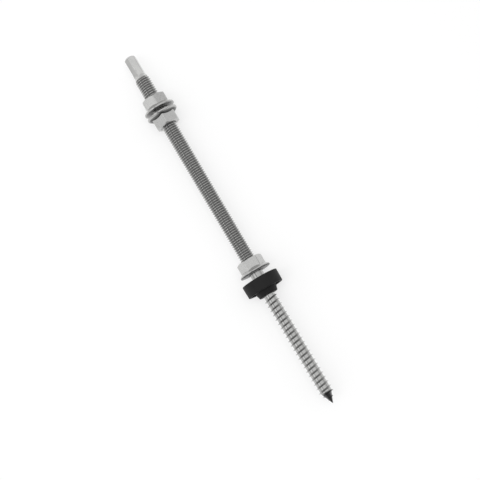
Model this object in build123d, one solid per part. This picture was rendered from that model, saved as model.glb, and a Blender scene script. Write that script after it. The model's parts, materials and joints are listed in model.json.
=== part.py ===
from build123d import *
import math
import os

# Hanger bolt M10 x 250 with three flange nuts and a rubber seal.
# Each piece is drawn upright on the bolt's axis, which is +Z while drawing.
# A station is a height above the drive end, and the point is at the top.
# At the end the assembly is laid down as it comes to rest on a flat floor.
# Sizes are in millimetres and angles in degrees.

# Drive end: a small hexagon with a bevelled nose, turned by a driver socket
drive_across_flats = 7.0
drive_length = 13.0
drive_nose_bevel = 1.3
drive_turn = 9.0

# Machine thread M10, drawn as a plain cylinder as wide as its crests
thread_diameter = 9.75
thread_length = 138.0
thread_run_in = 4.3
thread_run_out = 0.9
run_in_diameter = 6.6

# Shank under the seal, and the core that carries the wood thread
shank_diameter = 8.5
core_diameter = 7.1
core_taper_length = 2.2
shank_in_hub = 0.5

# Wood thread: one right-handed ridge round the core
wood_thread_diameter = 9.4
wood_thread_pitch = 3.05
wood_thread_length = 68.3
flank_angle = 20.0
ridge_root_sink = 0.3
ridge_start_gap = 1.5
ridge_start_turn = 19.0

# Gimlet point, which the ridge follows almost to its end
point_length = 7.8
point_end_diameter = 0.4
point_ridge_overlap = 1.6
point_ridge_blunt = 0.9
point_ridge_height = 0.2
point_ridge_core = 0.5
point_ridge_neck = 0.7

# Flange nuts: a hexagon and a conical flange forged in one piece
nut_across_flats = 14.8
nut_across_corners = 16.7
nut_height = 9.2
nut_chamfer_diameter = 13.6
nut_chamfer_slope = 30.0
flange_diameter = 20.3
flange_rim_height = 1.1
flange_slope = 35.0
flange_rim_bevel = 0.25
bore_chamfer = 0.5
nut_bore_clearance = 0.05

# Where the nuts sit on the bolt, and how each one is turned
upper_nut_station = 30.0
nut_gap = 2.4
thread_end_cover = 1.8
upper_nut_turn = -4.0
middle_nut_turn = -1.5
lower_nut_turn = 24.5

# Rubber seal: a disc with a grooved underside and a conical hub
seal_gap = 4.3
seal_diameter = 24.0
seal_thickness = 8.0
seal_edge_rounding = 0.4
seal_foot_bevel = 0.3
hub_diameter = 14.4
hub_end_diameter = 12.3
hub_height = 3.6
hub_edge_bevel = 0.3
groove_diameter = 20.0
groove_depth = 2.6
seal_bore_clearance = 0.02

# Radii, stations and angles that follow from the sizes above
corner_to_flat = math.cos(math.radians(30))
drive_corner_radius = drive_across_flats / 2 / corner_to_flat
thread_radius = thread_diameter / 2
shank_radius = shank_diameter / 2
core_radius = core_diameter / 2
crest_radius = wood_thread_diameter / 2
flank_run = math.tan(math.radians(flank_angle))
nut_corner_radius = nut_across_corners / 2
nut_bar_radius = nut_across_flats / 2 / corner_to_flat
flange_radius = flange_diameter / 2
nut_bore_radius = thread_radius + nut_bore_clearance
seal_radius = seal_diameter / 2

run_in_end = drive_length + thread_run_in
thread_end = run_in_end + thread_length
run_out_end = thread_end + thread_run_out
lower_nut_bearing = run_out_end + thread_end_cover
upper_nut_bearing = upper_nut_station + nut_height
middle_nut_bearing = upper_nut_bearing + nut_gap
seal_station = lower_nut_bearing + seal_gap
hub_station = seal_station + seal_thickness
hub_end = hub_station + hub_height
shank_end = hub_station + shank_in_hub
core_start = shank_end + core_taper_length
point_start = hub_end + wood_thread_length
bolt_length = point_start + point_length
ridge_start = hub_end + ridge_start_gap
ridge_turns = (point_start - point_ridge_overlap - ridge_start) / wood_thread_pitch
rim_station = upper_nut_bearing - flange_rim_height + flange_rim_bevel
rest_rise = seal_radius - flange_radius
rest_run = seal_station + seal_edge_rounding - rim_station
rest_tilt = math.degrees(math.atan2(rest_rise, rest_run))


def turned(*corners):
    """Solid of revolution about +Z whose corners are (radius, station, bevel)."""
    points = []
    for number, (radius, station, bevel) in enumerate(corners):
        corner = Vector(radius, 0, station)
        if not bevel:
            points.append(corner)
            continue
        for next_radius, next_station, _ in (corners[number - 1], corners[number + 1]):
            side = Vector(next_radius, 0, next_station) - corner
            points.append(corner + side.normalized() * bevel)
    return revolve(make_face(Polyline(*points, close=True)), Axis.Z)


def moulded(*corners):
    """Solid of revolution about +Z whose corners are (radius, station, rounding)."""
    points = [(radius, 0, station) for radius, station, rounding in corners]
    roundings = [rounding for radius, station, rounding in corners]
    return revolve(make_face(FilletPolyline(*points, radius=roundings, close=True)), Axis.Z)


def hexagon_bar(corner_radius, length):
    """Hexagonal bar that stands on station 0 with a corner towards +X."""
    return extrude(RegularPolygon(corner_radius, 6), length)


def drive_end():
    """Hexagon of the drive end, its nose bevelled where a socket enters."""
    envelope = turned(
        (0, 0, 0),
        (drive_corner_radius, 0, drive_nose_bevel),
        (drive_corner_radius, run_in_end, 0),
        (0, run_in_end, 0),
    )
    return Rot(0, 0, drive_turn) * hexagon_bar(drive_corner_radius, run_in_end) & envelope


def round_blank():
    """Everything round on the bolt: thread cylinder, shank, core and point."""
    return turned(
        (0, drive_length, 0),
        (run_in_diameter / 2, drive_length, 0),
        (thread_radius, run_in_end, 0),
        (thread_radius, thread_end, 0),
        (shank_radius, run_out_end, 0),
        (shank_radius, shank_end, 0),
        (core_radius, core_start, 0),
        (core_radius, point_start, 0),
        (point_end_diameter / 2, bolt_length, 0),
        (0, bolt_length, 0),
    )


def ridge(start, turns, start_turn, section):
    """Helical ridge with a sharp crest, from a half section of (radius, half width) points."""
    path = Pos(0, 0, start) * Helix(wood_thread_pitch, turns * wood_thread_pitch, core_radius)
    lower = [(radius, 0, start - half_width) for radius, half_width in section]
    upper = [(radius, 0, start + half_width) for radius, half_width in reversed(section)]
    profile = make_face(Polyline(*lower, (crest_radius, 0, start), *upper, close=True))
    return Rot(0, 0, start_turn) * sweep(profile, path=path, is_frenet=True)


def half_width_at(radius):
    """Half of the ridge's width at a radius, from the crest and the flank angle."""
    return (crest_radius - radius) * flank_run


def core_ridge():
    """Ridge of the wood thread along the core, its foot sunk into the core."""
    foot = core_radius - ridge_root_sink
    return ridge(ridge_start, ridge_turns, ridge_start_turn, [(foot, half_width_at(foot))])


def point_ridge():
    """Ridge of the wood thread on the point, cut down to a cone as it runs out."""
    start = ridge_start + ridge_turns * wood_thread_pitch
    start_turn = ridge_start_turn + ridge_turns * 360
    turns = (bolt_length - start) / wood_thread_pitch + 1
    shoulder = core_radius - 2 * ridge_root_sink
    section = [
        (point_ridge_core, half_width_at(shoulder) * point_ridge_neck),
        (shoulder, half_width_at(shoulder)),
    ]
    end = bolt_length - point_ridge_blunt
    end_radius = point_ridge_height + point_ridge_blunt * core_radius / point_length
    envelope = turned(
        (0, start - wood_thread_pitch, 0),
        (crest_radius + point_ridge_height, start - wood_thread_pitch, 0),
        (crest_radius + point_ridge_height, point_start, 0),
        (end_radius, end, 0),
        (0, end, 0),
    )
    return ridge(start, turns, start_turn, section) & envelope


def hanger_bolt():
    """The bolt itself, forged and rolled from one bar."""
    return round_blank() + drive_end() + core_ridge() + point_ridge()


def flange_nut():
    """Flange nut with its free end on station 0 and its bearing face at the top."""
    corner_chamfer = (nut_corner_radius - nut_chamfer_diameter / 2) * math.tan(
        math.radians(nut_chamfer_slope)
    )
    cone_radius = nut_across_flats / 2
    cone_rise = (flange_radius - cone_radius) * math.tan(math.radians(flange_slope))
    rim_start = nut_height - flange_rim_height
    chamfer_envelope = turned(
        (0, 0, 0),
        (nut_chamfer_diameter / 2, 0, 0),
        (nut_corner_radius, corner_chamfer, 0),
        (nut_corner_radius, rim_start, 0),
        (0, rim_start, 0),
    )
    flange = turned(
        (0, rim_start - cone_rise, 0),
        (cone_radius, rim_start - cone_rise, 0),
        (flange_radius, rim_start, flange_rim_bevel),
        (flange_radius, nut_height, flange_rim_bevel),
        (0, nut_height, 0),
    )
    mouth_radius = nut_bore_radius + bore_chamfer
    bore = turned(
        (0, 0, 0),
        (mouth_radius, 0, 0),
        (nut_bore_radius, bore_chamfer, 0),
        (nut_bore_radius, nut_height - bore_chamfer, 0),
        (mouth_radius, nut_height, 0),
        (0, nut_height, 0),
    )
    hexagon = hexagon_bar(nut_bar_radius, rim_start) & chamfer_envelope
    return hexagon + flange - bore


def rubber_seal():
    """Seal moulded in one piece, snug on the shank and on the start of the core."""
    bore_radius = shank_radius + seal_bore_clearance
    mouth_radius = core_radius + seal_bore_clearance
    groove_radius = groove_diameter / 2
    hub_end_radius = hub_end_diameter / 2
    return moulded(
        (bore_radius, seal_station, 0),
        (seal_radius, seal_station, seal_edge_rounding),
        (seal_radius, hub_station - seal_foot_bevel, 0),
        (seal_radius - seal_foot_bevel, hub_station, 0),
        (groove_radius, hub_station, 0),
        (groove_radius, hub_station - groove_depth, 0),
        (hub_diameter / 2, hub_station - groove_depth, 0),
        (hub_diameter / 2, hub_station, 0),
        (hub_end_radius, hub_end - hub_edge_bevel, 0),
        (hub_end_radius - hub_edge_bevel, hub_end, 0),
        (mouth_radius, hub_end, 0),
        (mouth_radius, core_start, 0),
        (bore_radius, shank_end, 0),
    )


def facing_point(nut, bearing, turn):
    """Nut whose bearing face looks towards the point."""
    return Pos(0, 0, bearing - nut_height) * Rot(0, 0, turn) * nut


def facing_drive_end(nut, bearing, turn):
    """Nut whose bearing face looks towards the drive end."""
    return Pos(0, 0, bearing + nut_height) * Rot(180, 0, turn) * nut


nut = flange_nut()
upright = {
    "hanger_bolt": hanger_bolt(),
    "upper_flange_nut": facing_point(nut, upper_nut_bearing, upper_nut_turn),
    "middle_flange_nut": facing_drive_end(nut, middle_nut_bearing, middle_nut_turn),
    "lower_flange_nut": facing_point(nut, lower_nut_bearing, lower_nut_turn),
    "rubber_seal": rubber_seal(),
}

# The seal's rim and the upper nut's flange touch the floor, with the point along +X
laid = {name: Rot(0, 90 - rest_tilt, 0) * piece for name, piece in upright.items()}
box = Compound(list(laid.values())).bounding_box()
to_origin = Pos(-box.center().X, -box.center().Y, -box.min.Z)
parts = {name: to_origin * piece for name, piece in laid.items()}

os.makedirs("parts", exist_ok=True)
for name, piece in parts.items():
    export_step(piece, f"parts/{name}.step")

print("bolt length", round(bolt_length, 2), "turns of wood thread", round(ridge_turns, 2))
print("rest tilt", round(rest_tilt, 3), "box", box)
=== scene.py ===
# %% [markdown]
# # Hanger bolt with three flange nuts and a rubber seal
#
# A hanger bolt is a steel stud with two threads. The fine machine thread takes nuts, and the
# coarse wood thread is driven into a rafter by a socket on the small hexagon at the far end.
# Three flange nuts and a black rubber seal sit on it.
#
# The construction model already has every piece at its real size and place. This lesson gives
# the pieces their surfaces: real thread flanks, softened edges, worked steel and moulded rubber.

# %% Load the construction model
import json
import math

import bmesh
import bpy
import numpy as np
from mathutils import Matrix, Vector


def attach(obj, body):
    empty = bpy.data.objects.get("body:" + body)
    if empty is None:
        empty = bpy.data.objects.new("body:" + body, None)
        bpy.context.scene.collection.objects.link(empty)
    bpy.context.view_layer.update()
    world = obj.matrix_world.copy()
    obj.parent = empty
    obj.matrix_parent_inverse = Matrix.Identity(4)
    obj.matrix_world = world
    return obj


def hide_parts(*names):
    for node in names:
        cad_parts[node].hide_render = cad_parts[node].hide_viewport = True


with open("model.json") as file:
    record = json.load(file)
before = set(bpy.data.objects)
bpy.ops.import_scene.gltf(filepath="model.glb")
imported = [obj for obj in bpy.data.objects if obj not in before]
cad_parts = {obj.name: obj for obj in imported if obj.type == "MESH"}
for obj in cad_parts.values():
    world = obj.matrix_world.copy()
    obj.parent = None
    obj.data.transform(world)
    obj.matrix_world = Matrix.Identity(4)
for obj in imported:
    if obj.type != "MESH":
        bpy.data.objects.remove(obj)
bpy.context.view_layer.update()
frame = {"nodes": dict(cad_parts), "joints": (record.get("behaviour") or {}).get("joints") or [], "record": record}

MM = 0.001
SIDE_ANGLE = math.radians(60)  # what one side of a hexagon takes up, seen from its axis
HALF_SIDE = SIDE_ANGLE / 2
print("construction nodes:", ", ".join(sorted(frame["nodes"])))

# %% [markdown]
# ## The bolt's own axes
#
# The bolt lies on the floor on its seal and its upper nut, with the point about one degree up.
# Everything on it is made round its axis, so it is far easier to draw it upright, with the
# drive end at station 0 and the point at the top. One matrix then lays each finished mesh down.
# The joints give the axis and a mount gives the drive end, so nothing has to be fitted by eye.

# %% Stand up and lie down
mounts = {mount["name"]: mount for mount in frame["record"]["mounts"]}
toward_point = Vector(frame["joints"][0]["axis"]).normalized()
sideways = Vector((0, 1, 0))
downward = sideways.cross(toward_point)
lay_down = Matrix((downward, sideways, toward_point)).transposed().to_4x4()
lay_down.translation = Vector(mounts["hex_drive"]["pos_m"])
stand_up = lay_down.inverted()
same_place = 0.002 * MM


def measured(node):
    """Stations, radii and turns of a construction node's points on the upright bolt."""
    points = np.array([stand_up @ vertex.co for vertex in frame["nodes"][node].data.vertices])
    turns = np.arctan2(points[:, 1], points[:, 0])
    return points[:, 2], np.hypot(points[:, 0], points[:, 1]), turns


def corner_turn(node, corner_radius):
    """Angle of one corner of a hexagon, from the points that lie on its corners."""
    _, radii, turns = measured(node)
    corners = turns[np.abs(radii - corner_radius) < same_place]
    return float(np.angle(np.exp(6j * corners).mean()) / 6)


def stretch_at(node, radius):
    """First and last station at which a node's round wall has this radius."""
    stations, radii, _ = measured(node)
    found = stations[np.abs(radii - radius) < same_place]
    return float(found.min()), float(found.max())


print("tilt of the axis:", round(math.degrees(math.asin(toward_point.z)), 3), "degrees")

# %% [markdown]
# ## Sizes of the bolt
#
# The radii of the hexagon and of both threads come with the mounts. The stations where the
# round blank changes are read off the construction mesh. What it leaves out is the depth of the
# machine thread: an M10 thread has a pitch of 1.5 mm, flats on its crests an eighth of that
# wide, and rounded roots.

# %% Measure the bolt
thread_radius = mounts["machine_thread"]["dims"]["r_mm"] * MM
crest_radius = mounts["wood_thread"]["dims"]["r_mm"] * MM
drive_apothem = mounts["hex_drive"]["dims"]["r_mm"] * MM
drive_length = mounts["hex_drive"]["dims"]["length_mm"] * MM
drive_corner = drive_apothem / math.cos(HALF_SIDE)
drive_turn = corner_turn("hanger_bolt", drive_corner)

shank_radius = 4.25 * MM
core_radius = 3.55 * MM
point_length = 7.8 * MM
bolt_length = float(measured("hanger_bolt")[0].max())
run_in_end, thread_end = stretch_at("hanger_bolt", thread_radius)
run_out_end, shank_end = stretch_at("hanger_bolt", shank_radius)
core_start = stretch_at("hanger_bolt", core_radius)[0]
point_start = bolt_length - point_length
ridge_start = (stand_up @ Vector(mounts["wood_thread"]["pos_m"])).z

machine_pitch = 1.5 * MM
depth_per_pitch = 0.6134
machine_depth = depth_per_pitch * machine_pitch
wood_pitch = 3.05 * MM
wood_flank = math.radians(20)
ridge_start_turn = math.radians(19)
print("machine thread", round(run_in_end / MM, 2), "to", round(thread_end / MM, 2), "mm")
print("core", round(core_start / MM, 2), "to", round(point_start / MM, 2), "mm, point at",
      round(bolt_length / MM, 2), "mm")

# %% [markdown]
# ## A skin of rows round the axis
#
# Turned, forged and moulded pieces can all be drawn as rows of points round the axis. Each row
# has the same columns, but a row's radius and station may change from column to column. That
# way a crease, such as the arc where a nut's chamfer meets its flats, follows the mesh exactly,
# which a boolean cut of a fine mesh wouldn't give so cleanly. A corner can have a rounding, and
# then it becomes a short curve of six points.

# %% Rows and skins
ROUNDING_STEPS = np.linspace(0, 1, 6)
WELD_DISTANCE = 0.001 * MM


def hexagon_radius(turns, corner, apothem, rounding):
    """Distance from the axis to a hexagon with rounded corners, at each turn."""
    off_corner = np.abs((turns - corner + HALF_SIDE) % SIDE_ANGLE - HALF_SIDE)
    flat = apothem / np.cos(HALF_SIDE - off_corner)
    centre = (apothem - rounding) / math.cos(HALF_SIDE)
    reach = np.clip(rounding**2 - (centre * np.sin(off_corner)) ** 2, 0, None)
    arc = centre * np.cos(off_corner) + np.sqrt(reach)
    arc_end = math.atan2(rounding / 2, centre + rounding * math.cos(HALF_SIDE))
    return np.where(off_corner < arc_end, arc, flat)


def outline(corners, columns, ring):
    """Rows of (radius, station) for each column, from corners of (radius, station, rounding)."""
    places = [np.stack(np.broadcast_arrays(radius, station, np.zeros(columns))[:2], axis=-1)
              for radius, station, rounding in corners]
    rows = []
    for number, (radius, station, rounding) in enumerate(corners):
        here = places[number]
        at_end = number in (0, len(corners) - 1) and not ring
        if not rounding or at_end:
            rows.append(here)
            continue
        before = places[number - 1] - here
        after = places[(number + 1) % len(corners)] - here
        start = here + before * rounding / np.linalg.norm(before, axis=-1, keepdims=True)
        end = here + after * rounding / np.linalg.norm(after, axis=-1, keepdims=True)
        for step in ROUNDING_STEPS:
            rows.append(start * (1 - step) ** 2 + here * 2 * step * (1 - step) + end * step**2)
    return np.array(rows)


def skin(name, rows, turns, ring=False):
    """Mesh over rows of (radius, station); a ring joins its last row to its first."""
    count, columns = rows.shape[:2]
    points = np.stack(
        [rows[..., 0] * np.cos(turns), rows[..., 0] * np.sin(turns), rows[..., 1]], axis=-1
    )
    faces = []
    for row in range(count if ring else count - 1):
        here, above = row * columns, (row + 1) % count * columns
        for column in range(columns):
            after = (column + 1) % columns
            faces.append((here + column, here + after, above + after, above + column))
    mesh = bpy.data.meshes.new(name)
    mesh.from_pydata(points.reshape(-1, 3), [], faces)
    welded = bmesh.new()
    welded.from_mesh(mesh)
    bmesh.ops.remove_doubles(welded, verts=welded.verts, dist=WELD_DISTANCE)
    welded.to_mesh(mesh)
    welded.free()
    return mesh


# %% [markdown]
# ## The bolt's blank
#
# A hanger bolt starts as a steel bar. One end is forged to a hexagon with a bevelled nose, and
# the shank between the threads stays as it was drawn. Both threads are rolled on afterwards,
# and so they are here: this cell makes only the hexagon and the shank, as two open skins whose
# last rows wait for the threads. All of the bolt has the same sixty columns, and a corner of
# the hexagon lies on a column, so the skins meet point to point, with one exception: the
# hexagon's corners are rounded here and sharp where the threads tree starts, which leaves a
# slit 0.05 mm wide at each of the six. One more row just beside each end keeps the long faces
# between them evenly lit.

# %% Forge the blank
COLUMNS = 60
nose_bevel = 1.3 * MM
nose_rounding = 0.35 * MM
bevel_rounding = 0.2 * MM
drive_rounding = 0.35 * MM
shank_rounding = 0.3 * MM
core_shown = 1.0 * MM
even_row = 0.4 * MM
thread_margin = 0.1 * MM
shank_dullness = 0.3
shank_stop = core_start + core_shown

bolt_turns = drive_turn + np.arange(COLUMNS) * math.tau / COLUMNS
drive_radius = hexagon_radius(bolt_turns, drive_turn, drive_apothem, drive_rounding)
nose_radius = drive_corner - nose_bevel
drive_rows = outline(
    [
        (0, 0, 0),
        (nose_radius, 0, nose_rounding),
        (drive_radius, drive_radius - nose_radius, bevel_rounding),
        (drive_radius, drive_length - even_row, 0),
        (drive_radius, drive_length, 0),
    ],
    COLUMNS,
    ring=False,
)
shank_rows = outline(
    [
        (shank_radius, run_out_end, 0),
        (shank_radius, run_out_end + even_row, 0),
        (shank_radius, shank_end - 2 * even_row, 0),
        (shank_radius, shank_end, shank_rounding),
        (core_radius, core_start, shank_rounding),
        (core_radius, shank_stop, 0),
    ],
    COLUMNS,
    ring=False,
)
blank = bmesh.new()
blank.from_mesh(skin("drive_end", drive_rows, bolt_turns))
blank.from_mesh(skin("shank", shank_rows, bolt_turns))
bolt_mesh = bpy.data.meshes.new("hanger_bolt_surface")
blank.to_mesh(bolt_mesh)
blank.free()
on_shank = [vertex.co.z > run_out_end + thread_margin for vertex in bolt_mesh.vertices]
painted_darkening = np.array(on_shank) * shank_dullness
bolt_mesh.attributes.new("recess", "FLOAT", "POINT").data.foreach_set("value", painted_darkening)
print("blank:", len(bolt_mesh.polygons), "faces")

# %% [markdown]
# ## Formulas as nodes
#
# The threads follow a rule, so Geometry Nodes make them. A formula drawn as a dozen Math nodes
# is hard to read, so this small class lets the script write it as a formula: adding two fields
# places an Add node and links it up. The same class serves the materials further down, since
# Math nodes are shared by both kinds of tree.

# %% Fields and trees


class Field:
    """A value worked out by nodes, which can be combined with others as in a formula."""

    def __init__(self, tree, socket):
        self.tree = tree
        self.socket = socket

    def math(self, operation, *others):
        node = self.tree.nodes.new("ShaderNodeMath")
        node.operation = operation
        for place, value in enumerate((self, *others)):
            feed(self.tree, value, node.inputs[place])
        return Field(self.tree, node.outputs[0])

    def __add__(self, other):
        return self.math("ADD", other)

    def __sub__(self, other):
        return self.math("SUBTRACT", other)

    def __radd__(self, other):
        return self + other

    def __rsub__(self, other):
        return self * -1 + other

    def __rtruediv__(self, other):
        return self.math("POWER", -1) * other

    def __mul__(self, other):
        return self.math("MULTIPLY", other)

    def __truediv__(self, other):
        return self.math("DIVIDE", other)

    def least(self, other):
        return self.math("MINIMUM", other)

    def most(self, other):
        return self.math("MAXIMUM", other)

    def held(self, low=0, high=1):
        return self.most(low).least(high)


def feed(tree, value, socket):
    """Link a field or a node's socket to a socket, or set the socket to a plain value."""
    if isinstance(value, Field):
        tree.links.new(value.socket, socket)
    elif isinstance(value, bpy.types.NodeSocket):
        tree.links.new(value, socket)
    else:
        socket.default_value = value


def add_node(tree, kind, settings=None, **sockets):
    """New node with its settings, its input sockets fed by name (spaces as underscores)."""
    node = tree.nodes.new(kind)
    for name, value in (settings or {}).items():
        setattr(node, name, value)
    for name, value in sockets.items():
        feed(tree, value, node.inputs[name.replace("_", " ")])
    return node


def vector_math(tree, operation, first, second):
    """Outputs of a Vector Math node between two vectors."""
    node = add_node(tree, "ShaderNodeVectorMath", {"operation": operation})
    feed(tree, first, node.inputs[0])
    feed(tree, second, node.inputs[1])
    return node.outputs


SOCKETS = {
    "number": "NodeSocketFloat",
    "whole": "NodeSocketInt",
    "vector": "NodeSocketVector",
    "mesh": "NodeSocketGeometry",
    "material": "NodeSocketMaterial",
}


def new_tree(name, kind, takes, gives):
    """Node tree whose named inputs and outputs have these kinds; returns its two ends too."""
    tree = bpy.data.node_groups.new(name, kind)
    for label, socket in takes.items():
        tree.interface.new_socket(label, in_out="INPUT", socket_type=SOCKETS[socket])
    for label, socket in gives.items():
        tree.interface.new_socket(label, in_out="OUTPUT", socket_type=SOCKETS[socket])
    start = tree.nodes.new("NodeGroupInput")
    return tree, start.outputs, tree.nodes.new("NodeGroupOutput").inputs


def numbers(*labels):
    """Number sockets for a tree, by label."""
    return dict.fromkeys(labels, "number")


# %% [markdown]
# ## A skin that winds like a thread
#
# Rows that run straight round a bolt would cut across its thread and leave ragged crests. So
# this group winds the rows up the bolt: each row climbs by one pitch in one turn, and its last
# column meets the first column of the row one turn above. A crest then lies along one row from
# end to end. Rows are held between the first and the last station, where they bunch up into
# one flat ring that joins the next skin.
#
# The phase counts turns of the thread, so a whole phase is a crest. Crowding draws the rows
# closer to the crests, where the shape needs them.

# %% Wind the skin
winding, given, result = new_tree(
    "Wound skin",
    "GeometryNodeTree",
    numbers("Columns", "First Turn", "Rows per Pitch", "Row Shift", "Crowding")
    | numbers("Pitch", "First Crest", "Start", "End"),
    {"Mesh": "mesh"} | numbers("Station", "Turn", "Phase", "Wound"),
)
size = {name: Field(winding, given[name]) for name in given.keys() if name}
pitches_to_start = (size["Start"] - size["First Crest"]) / size["Pitch"]
pitches_to_end = (size["End"] - size["First Crest"]) / size["Pitch"]
first_row = ((pitches_to_start - 1) * size["Rows per Pitch"]).math("FLOOR") - 1
last_row = (pitches_to_end * size["Rows per Pitch"]).math("CEIL") + 1
row_span = last_row - first_row
grid = add_node(
    winding,
    "GeometryNodeMeshGrid",
    Size_X=size["Columns"],
    Size_Y=row_span,
    Vertices_X=size["Columns"] + 1,
    Vertices_Y=row_span + 1,
)
on_grid = winding.nodes.new("GeometryNodeInputPosition").outputs[0]
place = add_node(winding, "ShaderNodeSeparateXYZ", Vector=on_grid)
column = (Field(winding, place.outputs["X"]) + size["Columns"] * 0.5).math("ROUND")
row = (Field(winding, place.outputs["Y"]) + row_span * 0.5).math("ROUND") + first_row
row_phase = (row + size["Row Shift"]) / size["Rows per Pitch"]
nearest_crest = row_phase.math("ROUND")
beside_crest = row_phase - nearest_crest
crowded = beside_crest * (beside_crest.math("ABSOLUTE") * 2).math("POWER", size["Crowding"] - 1)
share = column / size["Columns"]
station = size["First Crest"] + size["Pitch"] * (nearest_crest + crowded + share)
station = station.most(size["Start"]).least(size["End"])
phase = (station - size["First Crest"]) / size["Pitch"] - share
feed(winding, grid.outputs["Mesh"], result["Mesh"])
feed(winding, station, result["Station"])
feed(winding, size["First Turn"] + share * math.tau, result["Turn"])
feed(winding, phase, result["Phase"])
feed(winding, phase.math("ROUND") + share, result["Wound"])
print("wound skin:", len(winding.nodes), "nodes")

# %% [markdown]
# ## Roll the threads
#
# This is the tree on the bolt's modifier. It takes the blank and adds two wound skins.
#
# The machine thread is the smaller of three radii, the thread itself, the cone where it runs in
# from the hexagon and the cone where it runs out, but never less than the hexagon. The flats
# then fade into the first turns just as they do on a rolled bolt. The wood thread is the core
# plus a ridge, which rises in its first part of a turn and dies out on the point.
#
# Each skin stores a value at each point, under a name, for how much darker and duller its steel
# is there, and the grooves and the ridge's foot get painted shade this way. It does so before its
# points are moved, because a stored field is worked out from the points as they are at that
# moment. The machine thread also stores a mark, by which the steel knows where to paint shade
# into its narrow grooves.

# %% Threads tree
rolling, given, result = new_tree(
    "Rolled threads",
    "GeometryNodeTree",
    {"Blank": "mesh", "Columns": "whole", "Steel": "material"}
    | numbers("First Turn", "Drive Apothem", "Thread Start", "Run In Radius", "Run In End")
    | numbers("Thread End", "Run Out End", "Thread Radius", "Shank Radius")
    | numbers("Machine Pitch", "Machine Depth", "First Machine Crest")
    | numbers("Core Radius", "Wood Start", "Point Start", "Bolt Length")
    | numbers("Crest Radius", "Wood Pitch", "First Wood Crest", "Ridge Begins"),
    {"Bolt": "mesh"},
)
size = {name: Field(rolling, given[name]) for name in given.keys() if name}


def wound_skin(pitch, first_crest, start, end, rows, shift, crowding):
    """Wound skin of one thread, with its fields."""
    node = add_node(
        rolling,
        "GeometryNodeGroup",
        {"node_tree": winding},
        Columns=size["Columns"],
        First_Turn=size["First Turn"],
        Rows_per_Pitch=rows,
        Row_Shift=shift,
        Crowding=crowding,
        Pitch=pitch,
        First_Crest=first_crest,
        Start=start,
        End=end,
    )
    names = ("Station", "Turn", "Phase", "Wound")
    return node.outputs["Mesh"], *(Field(rolling, node.outputs[name]) for name in names)


def stored(mesh, name, value):
    """Mesh with a value kept on each of its points, under a name."""
    node = add_node(
        rolling,
        "GeometryNodeStoreNamedAttribute",
        {"data_type": "FLOAT", "domain": "POINT"},
        Geometry=mesh,
        Name=name,
        Value=value,
    )
    return node.outputs[0]


def set_round(mesh, radius, turn, station):
    """Move a grid's points to their radius, turn and station."""
    point = add_node(
        rolling,
        "ShaderNodeCombineXYZ",
        X=radius * turn.math("COSINE"),
        Y=radius * turn.math("SINE"),
        Z=station,
    )
    moved = add_node(rolling, "GeometryNodeSetPosition", Geometry=mesh, Position=point.outputs[0])
    return moved.outputs[0]


def cone(station, start, start_radius, end, end_radius):
    """Radius of a cone through two stations, at a station."""
    return start_radius + (station - start) * ((end_radius - start_radius) / (end - start))


def off_crest(phase):
    """Distance from the nearest crest, in pitches."""
    return (phase - phase.math("ROUND")).math("ABSOLUTE")


# %% [markdown]
# The crest of the machine thread is an eighth of a pitch wide, and its flanks take five eighths.
# Eight rows a pitch, set off by half a row, put two rows on the crest and two in the root. The
# crests stay unshaded, and from there on the steel gets painted shade and grows duller with
# depth, down to the root.

# %% Machine thread
machine_rows = 8
machine_row_shift = 0.5
crest_half_width = 1 / 16
flank_width = 5 / 16
groove_fade = 1.2 * MM
# painted shade: the grooves are painted darker with depth, and made duller
root_contrast = 1.6
crest_unshaded = 0.32
root_shade_and_dullness = 0.66

mesh, station, turn, phase, _ = wound_skin(
    size["Machine Pitch"],
    size["First Machine Crest"],
    size["Thread Start"],
    size["Run Out End"],
    rows=machine_rows,
    shift=machine_row_shift,
    crowding=1,
)
fade = ((size["Thread End"] - station) / groove_fade).held()
groove = ((off_crest(phase) - crest_half_width) / flank_width).held() * fade
run_in = cone(
    station, size["Thread Start"], size["Run In Radius"], size["Run In End"], size["Thread Radius"]
)
run_out = cone(
    station, size["Thread End"], size["Thread Radius"], size["Run Out End"], size["Shank Radius"]
)
off_flat = (turn - size["First Turn"]).math("FLOORED_MODULO", SIDE_ANGLE) - HALF_SIDE
hexagon = size["Drive Apothem"] / off_flat.math("COSINE")
blank = size["Thread Radius"].least(run_in).least(run_out)
rolled = (size["Thread Radius"] - size["Machine Depth"] * groove).least(blank)
radius = rolled.most(hexagon.least(size["Thread Radius"]))
depth = (blank - radius).most(0) / size["Machine Depth"]
# painted shade, deepening from the crest to the root, which also makes the steel duller
painted_darkening = (depth * root_contrast - crest_unshaded).held(0, root_shade_and_dullness)
marked = stored(stored(mesh, "recess", painted_darkening), "fine_thread", 1.0)
machine_mesh = set_round(marked, radius, turn, station)

# %% [markdown]
# The wood thread's ridge leans by twenty degrees on each side. On the point, the ridge stays
# under a cone that is a little steeper than the point's own, and so it grows thinner and ends
# just before the tip. The very tip is rounded by a parabola, which closes the skin. The steel is
# a little darker and duller on the core and darkest and dullest on the point, and the corner at
# the ridge's foot gets painted shade.

# %% Wood thread
wood_rows = 12
wood_crowding = 1.6
ridge_rise_turns = 0.12
tip_radius = 0.2 * MM
tip_bluntness = 2.0 * MM
point_ridge_height = 0.2 * MM
point_ridge_blunt = 0.9 * MM
foot_width = 0.35 * MM
foot_shade_and_dullness = 0.3
core_dullness = 0.22
point_dullness = 0.64
point_fade = 1.0 * MM

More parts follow.
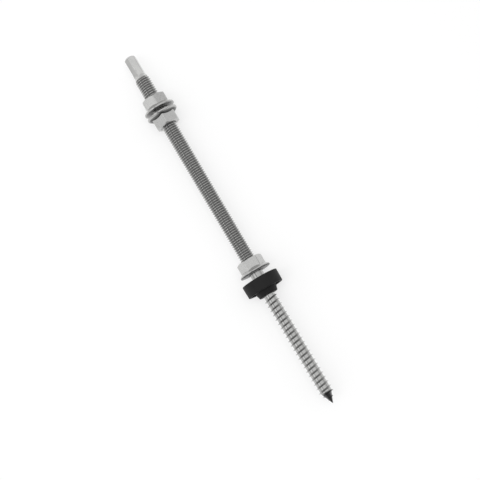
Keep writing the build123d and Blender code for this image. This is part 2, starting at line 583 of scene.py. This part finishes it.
mesh, station, turn, phase, wound = wound_skin(
    size["Wood Pitch"],
    size["First Wood Crest"],
    size["Wood Start"],
    size["Bolt Length"],
    rows=wood_rows,
    shift=0,
    crowding=wood_crowding,
)
to_tip = size["Bolt Length"] - station
core = cone(station, size["Point Start"], size["Core Radius"], size["Bolt Length"], tip_radius)
core = core.least(size["Core Radius"]).least((to_tip * tip_bluntness).math("SQRT"))
ridge_end = size["Bolt Length"] - point_ridge_blunt
end_radius = cone(
    ridge_end, size["Point Start"], size["Core Radius"], size["Bolt Length"], tip_radius
)
ridge_limit = cone(
    station,
    size["Point Start"],
    size["Crest Radius"] + point_ridge_height,
    ridge_end,
    end_radius,
)
rise = ((wound - size["Ridge Begins"]) / ridge_rise_turns).held()
height = (ridge_limit.least(size["Crest Radius"]) - core).most(0) * rise
aside = off_crest(phase) * size["Wood Pitch"]
ridge = (height - aside / math.tan(wood_flank)).most(0)
foot = height * math.tan(wood_flank)
# painted shade in the corner at the ridge's foot
at_foot = (rise - (aside - foot).math("ABSOLUTE") / foot_width).held()
on_point = ((station - size["Point Start"]) / point_fade).held()
painted_darkening = core_dullness + at_foot * foot_shade_and_dullness + on_point * point_dullness
wood_mesh = set_round(stored(mesh, "recess", painted_darkening), core + ridge, turn, station)

# %% [markdown]
# The three skins are joined and their meeting points merged, which also closes each wound skin
# along its seam. Edges sharper than fifty degrees, such as the crests, stay crisp.

# %% Join the bolt
merge_distance = 0.002 * MM
crisp_angle = math.radians(50)

joined = rolling.nodes.new("GeometryNodeJoinGeometry")
for part in (wood_mesh, machine_mesh, size["Blank"].socket):
    rolling.links.new(part, joined.inputs[0])
merged = add_node(
    rolling, "GeometryNodeMergeByDistance", Geometry=joined.outputs[0], Distance=merge_distance
)
smooth = add_node(
    rolling, "GeometryNodeSetShadeSmooth", {"domain": "FACE"}, Geometry=merged.outputs[0]
)
edge_angle = Field(rolling, rolling.nodes.new("GeometryNodeInputMeshEdgeAngle").outputs[0])
crisp = add_node(
    rolling,
    "GeometryNodeSetShadeSmooth",
    {"domain": "EDGE"},
    Geometry=smooth.outputs[0],
    Selection=edge_angle.math("GREATER_THAN", crisp_angle),
    Shade_Smooth=False,
)
real = add_node(rolling, "GeometryNodeRealizeInstances", Geometry=crisp.outputs[0])
clad = add_node(
    rolling, "GeometryNodeSetMaterial", Geometry=real.outputs[0], Material=size["Steel"]
)
feed(rolling, clad.outputs[0], result["Bolt"])
print("rolled threads:", len(rolling.nodes), "nodes")

# %% [markdown]
# ## Shared finishes
#
# The same effects appear on several pieces, so each is one node group with named inputs. The
# first turns a point on the lying bolt back into upright coordinates, so that a texture can run
# round the bolt or along it. The second is a grain, which is a noise stretched by its scales.
# The third finds the edges of a piece: it compares the true normal with one that is rounded
# over a small radius, and they differ only near an edge. The fourth paints shade into creases,
# which are closed in by their own piece, and the fifth breaks a surface up into faint scuffed
# patches.

# %% Upright coordinates
upright_tree, given, result = new_tree(
    "Upright on the bolt", "ShaderNodeTree", {"Point": "vector"}, {"Upright": "vector"}
)
from_drive_end = vector_math(upright_tree, "SUBTRACT", given["Point"], lay_down.translation)
axes = add_node(upright_tree, "ShaderNodeCombineXYZ")
for place, axis in enumerate((downward, sideways, toward_point)):
    along = vector_math(upright_tree, "DOT_PRODUCT", from_drive_end["Vector"], axis)
    feed(upright_tree, along["Value"], axes.inputs[place])
feed(upright_tree, axes.outputs[0], result["Upright"])

# %% Grain
grain_tree, given, result = new_tree(
    "Grain",
    "ShaderNodeTree",
    {"Vector": "vector"} | numbers("Across", "Along", "Detail"),
    numbers("Grain"),
)
stretch = add_node(
    grain_tree, "ShaderNodeCombineXYZ", X=given["Across"], Y=given["Across"], Z=given["Along"]
)
scaled = vector_math(grain_tree, "MULTIPLY", given["Vector"], stretch.outputs[0])
noise = add_node(
    grain_tree, "ShaderNodeTexNoise", Vector=scaled["Vector"], Scale=1.0, Detail=given["Detail"]
)
feed(grain_tree, noise.outputs[0], result["Grain"])

# %% Worn edges
edge_tree, given, result = new_tree(
    "Worn edges", "ShaderNodeTree", numbers("Radius", "Contrast"), numbers("Edge")
)
rounded_normal = add_node(edge_tree, "ShaderNodeBevel", {"samples": 6}, Radius=given["Radius"])
geometry = edge_tree.nodes.new("ShaderNodeNewGeometry")
agreement = vector_math(
    edge_tree, "DOT_PRODUCT", rounded_normal.outputs[0], geometry.outputs["Normal"]
)
difference = 1 - Field(edge_tree, agreement["Value"])
feed(edge_tree, (difference * Field(edge_tree, given["Contrast"])).held(), result["Edge"])

# %% Crease shade
crease_shade_tree, given, result = new_tree(
    "Creases", "ShaderNodeTree", numbers("Reach", "Start", "Contrast"), numbers("Crease")
)
# painted shade: darker where a piece closes in on itself within the reach
openness = add_node(
    crease_shade_tree,
    "ShaderNodeAmbientOcclusion",
    {"samples": 12, "only_local": True},
    Distance=given["Reach"],
)
closed = 1 - Field(crease_shade_tree, openness.outputs["AO"])
beyond_start = closed - Field(crease_shade_tree, given["Start"])
feed(crease_shade_tree, (beyond_start * Field(crease_shade_tree, given["Contrast"])).held(), result["Crease"])

# %% Scuffs
scuff_contrast = 8

scuff_tree, given, result = new_tree(
    "Scuffs", "ShaderNodeTree", {"Vector": "vector"} | numbers("Size", "Share"), numbers("Scuff")
)
in_patches = add_node(
    scuff_tree,
    "ShaderNodeTexNoise",
    Vector=given["Vector"],
    Scale=1 / Field(scuff_tree, given["Size"]),
    Detail=6.0,
    Roughness=0.7,
    Distortion=1.5,
)
over = Field(scuff_tree, in_patches.outputs[0]) - (1 - Field(scuff_tree, given["Share"]))
feed(scuff_tree, (over * scuff_contrast).held(), result["Scuff"])
finish_trees = (upright_tree, grain_tree, edge_tree, crease_shade_tree, scuff_tree)
print("shared finishes:", ", ".join(tree.name for tree in finish_trees))

# %% [markdown]
# ## Steel and rubber
#
# The bolt and the nuts are stainless steel. The bolt is rolled, so its grain runs round it. It
# is darker and duller wherever its mesh keeps a value for this: a little on its shank and core,
# most on its point, and as painted shade in its thread grooves and at its ridge's foot. The
# grooves of its machine thread get nearly black painted shade where they are closed in. The nuts
# are cold forged and tumbled, which leaves a satin skin with faint mottling and brighter edges,
# and they have painted shade in their creases, on their bearing faces and on the middle nut's
# cone. The seal is matt black
# rubber, a little greyer along its edges and where it is dusty or scuffed, with a fine moulded
# texture. Every number that is the same all over a piece is set on the shader itself.

# %% Materials
bolt_dark, bolt_light = (0.43, 0.43, 0.425, 1), (0.7, 0.7, 0.69, 1)
# darkest colours of the bolt: painted shade in grooves and creases, and a darker shank and point
bolt_shade_and_dull, bolt_crease_shade = (0.08, 0.08, 0.08, 1), (0.01, 0.01, 0.01, 1)
nut_dark, nut_light = (0.4, 0.4, 0.395, 1), (0.66, 0.66, 0.65, 1)
# the nuts' painted shade, for creases, bearing faces and the middle nut's cone ring
nut_painted_shade = (0.04, 0.04, 0.04, 1)
rubber_dark, rubber_light = (0.004, 0.004, 0.004, 1), (0.03, 0.03, 0.03, 1)


def new_material(name, **constants):
    """Material with one Principled shader, its constant values set on the shader's sockets."""
    material = bpy.data.materials.new(name)
    material.use_nodes = True
    tree = material.node_tree
    shader = tree.nodes["Principled BSDF"]
    for label, value in constants.items():
        shader.inputs[label.replace("_", " ")].default_value = value
    return material, tree, shader.inputs


def placed_group(tree, group, **sockets):
    """Shared finish placed in a material, with its own values; returns its one output."""
    node = add_node(tree, "ShaderNodeGroup", {"node_tree": group}, **sockets)
    return Field(tree, node.outputs[0])


def upright_point(tree):
    """Upright coordinates of the shaded point in a material."""
    point = tree.nodes.new("ShaderNodeTexCoord").outputs["Object"]
    return placed_group(tree, upright_tree, Point=point)


def kept_value(tree, name):
    """Value that a mesh keeps on its points under a name."""
    node = add_node(tree, "ShaderNodeAttribute", {"attribute_name": name})
    return Field(tree, node.outputs["Fac"])


def shaded(tree, amount, at_none, at_full):
    """Colour between two others, by an amount from 0 to 1."""
    blend = tree.nodes.new("ShaderNodeMix")
    blend.data_type = "RGBA"
    feed(tree, amount, blend.inputs["Factor"])
    colours = [socket for socket in blend.inputs if socket.type == "RGBA"]
    feed(tree, at_none, colours[0])
    feed(tree, at_full, colours[1])
    return next(socket for socket in blend.outputs if socket.type == "RGBA")


def relief(tree, height, distance, strength):
    """Normal of a surface raised by a height field of at most this distance."""
    bump = add_node(tree, "ShaderNodeBump", Height=height, Distance=distance, Strength=strength)
    return bump.outputs["Normal"]


def bolt_steel():
    """Rolled stainless steel, darker and duller in places, with painted shade in grooves and creases."""
    material, tree, shader = new_material("bolt_steel", Metallic=1.0)
    upright = upright_point(tree)
    grain = placed_group(tree, grain_tree, Vector=upright, Across=900.0, Along=5200.0, Detail=4.0)
    patches = placed_group(tree, grain_tree, Vector=upright, Across=260.0, Along=160.0, Detail=3.0)
    recess = kept_value(tree, "recess")
    edges = placed_group(tree, edge_tree, Radius=0.12 * MM, Contrast=4.0)
    scuffs = placed_group(tree, scuff_tree, Vector=upright, Size=2.5 * MM, Share=0.42)
    tone = (patches * 0.5 + grain * 0.25 + edges * 0.25 - scuffs * 0.35 + 0.25).held()
    unshaded = shaded(tree, tone, bolt_dark, bolt_light)
    # nearly black painted shade where the machine thread's grooves are closed in
    crease_shade = placed_group(tree, crease_shade_tree, Reach=2.5 * MM, Start=0.72, Contrast=8.0)
    thread_crease_shade = crease_shade * kept_value(tree, "fine_thread")
    # painted shade in the grooves and at the ridge's foot, and a darker shank, core and point
    darkened = shaded(tree, recess.held(), unshaded, bolt_shade_and_dull)
    feed(tree, shaded(tree, thread_crease_shade, darkened, bolt_crease_shade), shader["Base Color"])
    feed(tree, (grain * 0.1 + recess * 0.15 + scuffs * 0.12 + 0.05).held(), shader["Roughness"])
    feed(tree, relief(tree, grain, 0.02 * MM, 0.35), shader["Normal"])
    return material


def nut_steel():
    """Cold forged stainless steel with a satin skin, brighter edges and painted shade in creases."""
    material, tree, shader = new_material("nut_steel", Metallic=1.0)
    upright = upright_point(tree)
    mottle = placed_group(tree, grain_tree, Vector=upright, Across=700.0, Along=700.0, Detail=5.0)
    drawn = placed_group(tree, grain_tree, Vector=upright, Across=2600.0, Along=500.0, Detail=3.0)
    edges = placed_group(tree, edge_tree, Radius=0.25 * MM, Contrast=5.0)
    # painted shade in creases, added to the painted shade of the bearing faces and the cone ring
    crease_shade = placed_group(tree, crease_shade_tree, Reach=2.5 * MM, Start=0.45, Contrast=1.5)
    recess = kept_value(tree, "recess")
    scuffs = placed_group(tree, scuff_tree, Vector=upright, Size=1.8 * MM, Share=0.42)
    tone = (mottle * 0.6 + drawn * 0.2 + edges * 0.4 - scuffs * 0.35 + 0.15).held()
    unshaded = shaded(tree, tone, nut_dark, nut_light)
    nut_shade = (recess + crease_shade).held()
    feed(tree, shaded(tree, nut_shade, unshaded, nut_painted_shade), shader["Base Color"])
    feed(tree, (mottle * 0.16 - edges * 0.06 + scuffs * 0.12 + 0.2).held(), shader["Roughness"])
    feed(tree, relief(tree, mottle + drawn * 0.5, 0.03 * MM, 0.3), shader["Normal"])
    return material


def seal_rubber():
    """Matt black moulded rubber, a little greyer along its edges."""
    material, tree, shader = new_material("seal_rubber", Metallic=0.0, Specular_IOR_Level=0.25)
    upright = upright_point(tree)
    skin_grain = placed_group(
        tree, grain_tree, Vector=upright, Across=1800.0, Along=1800.0, Detail=4.0
    )
    dust = placed_group(tree, grain_tree, Vector=upright, Across=220.0, Along=220.0, Detail=3.0)
    edges = placed_group(tree, edge_tree, Radius=0.35 * MM, Contrast=4.0)
    scuffs = placed_group(tree, scuff_tree, Vector=upright, Size=3.0 * MM, Share=0.4)
    tone = (edges * 0.35 + dust * 0.25 + skin_grain * 0.15 + scuffs * 0.25).held()
    feed(tree, shaded(tree, tone, rubber_dark, rubber_light), shader["Base Color"])
    feed(tree, (skin_grain * 0.2 + 0.5).held(), shader["Roughness"])
    feed(tree, relief(tree, skin_grain, 0.05 * MM, 0.35), shader["Normal"])
    return material


finishes = {"bolt_steel": bolt_steel(), "nut_steel": nut_steel(), "seal_rubber": seal_rubber()}
print("materials:", ", ".join(finishes))

# %% [markdown]
# ## Finish the bolt
#
# The blank gets the threads tree as a modifier. Each input is set by its socket's identifier,
# before anything is evaluated. The evaluated mesh is then copied into a plain one, the modifier
# goes, and the mesh is laid down where the construction model has the bolt.

# %% Make the bolt
first_machine_crest = run_in_end - machine_pitch / 2
first_wood_crest = ridge_start + wood_pitch * (drive_turn - ridge_start_turn) / math.tau
run_in_radius = 3.3 * MM
inside_box = 0.005 * MM


def set_inputs(modifier, tree, values):
    """Set a modifier's inputs by name, through each socket's identifier."""
    for item in tree.interface.items_tree:
        if item.item_type == "SOCKET" and item.in_out == "INPUT" and item.name in values:
            modifier[item.identifier] = values[item.name]


def add_object(name, data):
    """New object in the scene that shows a mesh, a camera or a lamp."""
    added = bpy.data.objects.new(name, data)
    bpy.context.scene.collection.objects.link(added)
    return added


def finished(name, mesh, body, node):
    """Object for one piece, laid down, riding on its body and standing for its node."""
    mesh.transform(lay_down)
    mesh.name = name
    piece = add_object(name, mesh)
    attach(piece, body)
    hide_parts(node)
    triangles = sum(len(face.vertices) - 2 for face in mesh.polygons)
    print(name, "has", triangles, "triangles")
    return piece


blank_object = add_object("blank", bolt_mesh)
roller = blank_object.modifiers.new("threads", "NODES")
roller.node_group = rolling
set_inputs(
    roller,
    rolling,
    {
        "Columns": COLUMNS,
        "First Turn": drive_turn,
        "Drive Apothem": drive_apothem,
        "Thread Start": drive_length,
        "Run In Radius": run_in_radius,
        "Run In End": run_in_end,
        "Thread End": thread_end,
        "Run Out End": run_out_end,
        "Thread Radius": thread_radius - inside_box,
        "Shank Radius": shank_radius,
        "Machine Pitch": machine_pitch,
        "Machine Depth": machine_depth,
        "First Machine Crest": first_machine_crest,
        "Core Radius": core_radius,
        "Wood Start": shank_stop,
        "Point Start": point_start,
        "Bolt Length": bolt_length,
        "Crest Radius": crest_radius,
        "Wood Pitch": wood_pitch,
        "First Wood Crest": first_wood_crest,
        "Ridge Begins": (ridge_start_turn - drive_turn) / math.tau,
        "Steel": finishes["bolt_steel"],
    },
)
evaluated = blank_object.evaluated_get(bpy.context.evaluated_depsgraph_get())
threaded_mesh = bpy.data.meshes.new_from_object(evaluated)
bpy.data.objects.remove(blank_object)
finished("threaded_bolt", threaded_mesh, "bolt", "hanger_bolt")

# %% [markdown]
# ## The flange nuts
#
# A flange nut is forged in one piece: a hexagon with a chamfered free end, on a round flange
# whose bearing face presses on the work. Its chamfer is a cone of thirty degrees, so the arc
# where it meets each flat is deepest at the corners. One outline with the hexagon's radius in
# it gives both creases exactly. The columns are closer together at the six corners, which are
# cut off round. A row part of the way up the flange's cone is where a ring of painted shade can
# fade out.

# %% Nut outline
nut_apothem = 7.4 * MM
nut_corner = 8.35 * MM
nut_chamfer_radius = 6.8 * MM
nut_chamfer_slope = math.radians(30)
flange_rim_height = 1.1 * MM
flange_slope = math.radians(35)
bore_radius = 4.925 * MM
bore_chamfer = 0.5 * MM
mouth_rounding = 0.08 * MM
free_end_rounding = 0.3 * MM
chamfer_rounding = 0.12 * MM
hexagon_foot_rounding = 0.35 * MM
rim_rounding = 0.25 * MM
bearing_rounding = 0.35 * MM
cone_row = 0.6
even_columns = 20
corner_room = 1.2


def nut_turns(corner):
    """Turns of a nut's columns, even ones and closer ones on each turned corner."""
    cut = HALF_SIDE - math.acos(nut_apothem / nut_corner)
    room = cut * corner_room
    even = np.arange(1, even_columns) * SIDE_ANGLE / even_columns
    even = np.concatenate([[0], even[(even > room) & (even < SIDE_ANGLE - room)]])
    beside = cut * np.array([0.5, 1.0])
    sector = np.sort(np.concatenate([even, beside, SIDE_ANGLE - beside]))
    return corner + np.concatenate([sector + side * SIDE_ANGLE for side in range(6)])


def nut_rows(turns, corner, height, flange_radius):
    """Outline of a nut whose free end is at 0 and whose bearing face is at its height."""
    hexagon = hexagon_radius(turns, corner, nut_apothem, 0).clip(max=nut_corner)
    rim = height - flange_rim_height
    mouth = bore_radius + bore_chamfer
    chamfer_end = (hexagon - nut_chamfer_radius) * math.tan(nut_chamfer_slope)
    flange_start = rim - (flange_radius - hexagon) * math.tan(flange_slope)
    cone_radius = hexagon + (flange_radius - hexagon) * cone_row
    cone_station = flange_start + (rim - flange_start) * cone_row
    return outline(
        [
            (mouth, 0, mouth_rounding),
            (nut_chamfer_radius, 0, free_end_rounding),
            (hexagon, chamfer_end, chamfer_rounding),
            (hexagon, flange_start, hexagon_foot_rounding),
            (cone_radius, cone_station, 0),
            (flange_radius, rim, rim_rounding),
            (flange_radius, height, bearing_rounding),
            (mouth, height, mouth_rounding),
            (bore_radius, height - bore_chamfer, 0),
            (bore_radius, bore_chamfer, 0),
        ],
        len(turns),
        ring=True,
    )


# %% [markdown]
# Each nut is measured on the construction model: its first and last station, the radius of its
# flange, the turn of its hexagon, and which end its flange is on. The upper and the middle nut
# face each other, because the foot of a rail bracket is clamped between them, and the lower nut
# presses on the seal. A nut that faces the drive end is the same outline turned end for end, so
# its rows are taken in reverse to keep its faces outward.
#
# A nut's bearing face is painted dark, as shade and dark reflection, most round its bore and
# less towards its rim, and the lower nut's is painted dark all over. The middle nut has a ring
# of painted shade on its cone, at the foot of its hexagon. Each nut is given these three
# strengths: at the bore, at the rim and on the cone.

# %% Make the nuts
# where each nut gets painted shade: its bearing face, and a ring on its cone
bearing_edge = 0.4 * MM
cone_margin = 0.05 * MM
rim_margin = 0.01 * MM
ring_contrast = 3
ring_unshaded = 0.4


def even_shading(piece):
    """Shade a piece smooth, with flat faces kept flat beside their rounded edges."""
    piece.data.shade_smooth()
    weigh = piece.modifiers.new("even_faces", "WEIGHTED_NORMAL")
    weigh.weight = 100
    weigh.keep_sharp = True


def store_painted_shade(mesh, corner, bearing, flange_radius, painted_darkening):
    """Keep a mask of painted shade: on the bearing face, and on the cone towards the hexagon's foot."""
    at_bore, at_rim, on_foot = painted_darkening
    points = np.array([vertex.co for vertex in mesh.vertices])
    radii = np.hypot(points[:, 0], points[:, 1])
    heights = np.abs(points[:, 2] - bearing)
    turns = np.arctan2(points[:, 1], points[:, 0])
    hexagon = hexagon_radius(turns, corner, nut_apothem, 0).clip(max=nut_corner)
    on_bearing = heights < bearing_edge
    on_cone = (heights > flange_rim_height) & (radii > hexagon + cone_margin)
    up_cone = (flange_radius - radii) / (flange_radius - hexagon)
    in_ring = (up_cone * ring_contrast - ring_unshaded).clip(0, 1)
    inward = ((flange_radius - radii) / (flange_radius - bore_radius)).clip(0, 1)
    on_face = at_rim + (at_bore - at_rim) * inward
    mask = on_bearing * on_face + on_cone * in_ring * on_foot
    mesh.attributes.new("recess", "FLOAT", "POINT").data.foreach_set("value", mask)


def flange_nut(name, body, node, painted_darkening):
    """Flange nut in the place and turn of a construction node."""
    stations, radii, _ = measured(node)
    start, end = float(stations.min()), float(stations.max())
    flange_radius = float(radii.max())
    corner = corner_turn(node, nut_corner)
    columns = nut_turns(corner)
    rows = nut_rows(columns, corner, end - start, flange_radius)
    rim_station = float(stations[radii > flange_radius - rim_margin].mean())
    faces_point = rim_station > (start + end) / 2
    if faces_point:
        rows[..., 1] = start + rows[..., 1]
    else:
        rows[..., 1] = end - rows[..., 1]
        rows = rows[::-1]
    mesh = skin(name, rows, columns, ring=True)
    bearing = end if faces_point else start
    store_painted_shade(mesh, corner, bearing, flange_radius, painted_darkening)
    mesh.materials.append(finishes["nut_steel"])
    piece = finished(name, mesh, body, node)
    even_shading(piece)
    print("  from", round(start / MM, 2), "to", round(end / MM, 2), "mm, turned",
          round(math.degrees(corner), 1), "degrees")


for name, body, node, painted_darkening in (
    ("upper_nut_forging", "upper_nut", "upper_flange_nut", (0.95, 0.15, 0.0)),
    ("middle_nut_forging", "middle_nut", "middle_flange_nut", (0.8, 0.15, 0.95)),
    ("lower_nut_forging", "lower_nut", "lower_flange_nut", (1.0, 0.9, 0.0)),
):
    flange_nut(name, body, node, painted_darkening)

# %% [markdown]
# ## The rubber seal
#
# The seal is moulded in one piece: a thick disc with a groove in its underside, and a conical
# hub that is pushed into the drilled hole. Rubber leaves its mould with slightly tapered walls
# and no sharp corner, so every wall leans a little here and every corner has a rounding.

# %% Make the seal
seal_columns = 120
disc_thickness = 8.0 * MM
foot_taper = 0.2 * MM
groove_radius = 10.0 * MM
groove_depth = 2.6 * MM
groove_taper = 0.25 * MM
hub_radius = 7.2 * MM
hub_end_radius = 6.15 * MM
bore_rounding = 0.2 * MM
upper_rim_rounding = 0.4 * MM
foot_rim_rounding = 0.35 * MM
groove_rim_rounding = 0.25 * MM
groove_floor_rounding = 0.5 * MM
hub_foot_rounding = 0.3 * MM
hub_end_rounding = 0.35 * MM
bore_gap = 0.02 * MM
seal_bore = shank_radius + bore_gap
hub_bore = core_radius + bore_gap

stations, radii, _ = measured("rubber_seal")
seal_start, seal_end = float(stations.min()), float(stations.max())
seal_radius = float(radii.max())
foot = seal_start + disc_thickness
groove_floor = foot - groove_depth
seal_rows = outline(
    [
        (seal_bore, seal_start, bore_rounding),
        (seal_radius, seal_start, upper_rim_rounding),
        (seal_radius - foot_taper, foot, foot_rim_rounding),
        (groove_radius, foot, groove_rim_rounding),
        (groove_radius - groove_taper, groove_floor, groove_floor_rounding),
        (hub_radius + groove_taper, groove_floor, groove_floor_rounding),
        (hub_radius, foot, hub_foot_rounding),
        (hub_end_radius, seal_end, hub_end_rounding),
        (hub_bore, seal_end, bore_rounding),
        (hub_bore, core_start, 0),
        (seal_bore, shank_end, 0),
    ],
    seal_columns,
    ring=True,
)
seal_mesh = skin("seal", seal_rows, np.arange(seal_columns) * math.tau / seal_columns, ring=True)
seal_mesh.materials.append(finishes["seal_rubber"])
seal = finished("seal_moulding", seal_mesh, "bolt", "rubber_seal")
even_shading(seal)

# %% [markdown]
# ## The camera
#
# The bolt lies down here, so the camera looks down on it. It stands on the point's side, a
# little off square to the bolt, at such a distance that the point's side looks slightly larger.
# The bolt crosses the picture from the upper left to the lower right, so the camera is rolled.

# %% Set the camera
camera_distance = 0.75
camera_lens = 91.2
off_square = math.radians(7.56)
slant = math.radians(30.57)
aim_station = 135.8 * MM
aim_aside = 1.75 * MM

view_axis = -downward * math.cos(off_square) + toward_point * math.sin(off_square)
along_picture = (toward_point - view_axis * toward_point.dot(view_axis)).normalized()
picture_right = along_picture * math.sin(slant) + sideways * math.cos(slant)
picture_up = sideways * math.sin(slant) - along_picture * math.cos(slant)
aim = lay_down.translation + toward_point * aim_station + sideways * aim_aside
camera_data = bpy.data.cameras.new("camera")
camera_data.lens = camera_lens
camera_data.clip_start = 0.05
camera = add_object("camera", camera_data)
turned = Matrix((picture_right, picture_up, view_axis)).transposed().to_4x4()
camera.matrix_world = Matrix.Translation(aim + view_axis * camera_distance) @ turned
bpy.context.scene.camera = camera

# %% [markdown]
# ## Floor and light
#
# Steel shows what is round it, so the studio is drawn for its reflections. There is a broad
# even light overhead with a softbox on the left, and less light low down on both sides. One
# narrow dark gap in the softbox draws a dark line along the steel. The studio is a little darker
# past the drive end and much darker past the point, so what faces the point turns dark. The
# backdrop looks white to the camera. The floor looks nearly white to the camera and in
# reflections, and keeps the soft shadow of a lamp overhead, which gloss doesn't show.

# %% Floor
floor_size = 6.0
floor_white = 0.9
backdrop_share = 0.6


def white_for_camera(tree):
    """1 for rays that show a backdrop directly, in gloss or through glass, and 0 for others."""
    path = tree.nodes.new("ShaderNodeLightPath").outputs
    seen = Field(tree, path["Is Camera Ray"]).most(Field(tree, path["Is Glossy Ray"]))
    return seen.most(Field(tree, path["Is Transmission Ray"]))


floor_mesh = bpy.data.meshes.new("floor")
half = floor_size / 2
floor_corners = [(-half, -half, 0), (half, -half, 0), (half, half, 0), (-half, half, 0)]
floor_mesh.from_pydata(floor_corners, [], [(0, 1, 2, 3)])
floor = add_object("floor", floor_mesh)
floor_material, tree, _ = new_material(
    "floor_white",
    Base_Color=(floor_white, floor_white, floor_white, 1),
    Roughness=0.9,
    Specular_IOR_Level=0.0,
)
glow = add_node(tree, "ShaderNodeEmission", Color=(1, 1, 1, 1), Strength=1.0)
both = tree.nodes.new("ShaderNodeMixShader")
feed(tree, white_for_camera(tree) * backdrop_share, both.inputs[0])
feed(tree, tree.nodes["Principled BSDF"].outputs[0], both.inputs[1])
feed(tree, glow.outputs[0], both.inputs[2])
feed(tree, both.outputs[0], tree.nodes["Material Output"].inputs["Surface"])
floor_mesh.materials.append(floor_material)

# %% World
overhead_light = 0.96
low_side = 0.7
low_dark = 0.36
softbox_place = -0.5
softbox_width = 0.5
softbox_bright = 0.46
gap_place = -0.38
gap_width = 0.18
gap_dark = 1.3
point_light = 0.09
drive_light = 0.75
band_inner = 0.4
band_outer = 0.7

world = bpy.data.worlds.new("studio")
bpy.context.scene.world = world
world.use_nodes = True
tree = world.node_tree
outward = tree.nodes.new("ShaderNodeTexCoord").outputs["Generated"]
direction = add_node(tree, "ShaderNodeSeparateXYZ", Vector=outward)
toward_tip = Field(tree, direction.outputs["X"])
beyond_point = ((toward_tip - band_inner) / (band_outer - band_inner)).held()
beyond_drive = ((toward_tip * -1 - band_inner) / (band_outer - band_inner)).held()
side = Field(tree, direction.outputs["Y"])
low = ((side.math("ABSOLUTE") - low_side) / (1 - low_side)).held()
softbox = (1 - (side - softbox_place).math("ABSOLUTE") / softbox_width).held()
gap = (1 - (side - gap_place).math("ABSOLUTE") / gap_width).held()
across = softbox * softbox_bright - low * low_dark - gap * gap_dark + overhead_light
past_point = beyond_point * (point_light - across)
past_drive = beyond_drive * (drive_light - across)
studio = across + past_point + past_drive
seen = Field(tree, tree.nodes.new("ShaderNodeLightPath").outputs["Is Camera Ray"])
feed(tree, studio + seen * (1 - studio), tree.nodes["Background"].inputs["Strength"])
tree.nodes["Background"].inputs["Color"].default_value = (1, 1, 1, 1)

# %% Lamp
lamp_height = 1.3
lamp_aside = -0.3
lamp_tilt = math.radians(-13)
lamp_length = 1.4
lamp_width = 0.5
lamp_power = 8.8

lamp_data = bpy.data.lights.new("overhead", "AREA")
lamp_data.shape = "RECTANGLE"
lamp_data.size = lamp_width
lamp_data.size_y = lamp_length
lamp_data.energy = lamp_power
lamp = add_object("overhead", lamp_data)
lamp.location = (0, lamp_aside, lamp_height)
lamp.rotation_euler = (lamp_tilt, 0, 0)
lamp.visible_glossy = False
bpy.context.scene.view_settings.view_transform = "Standard"
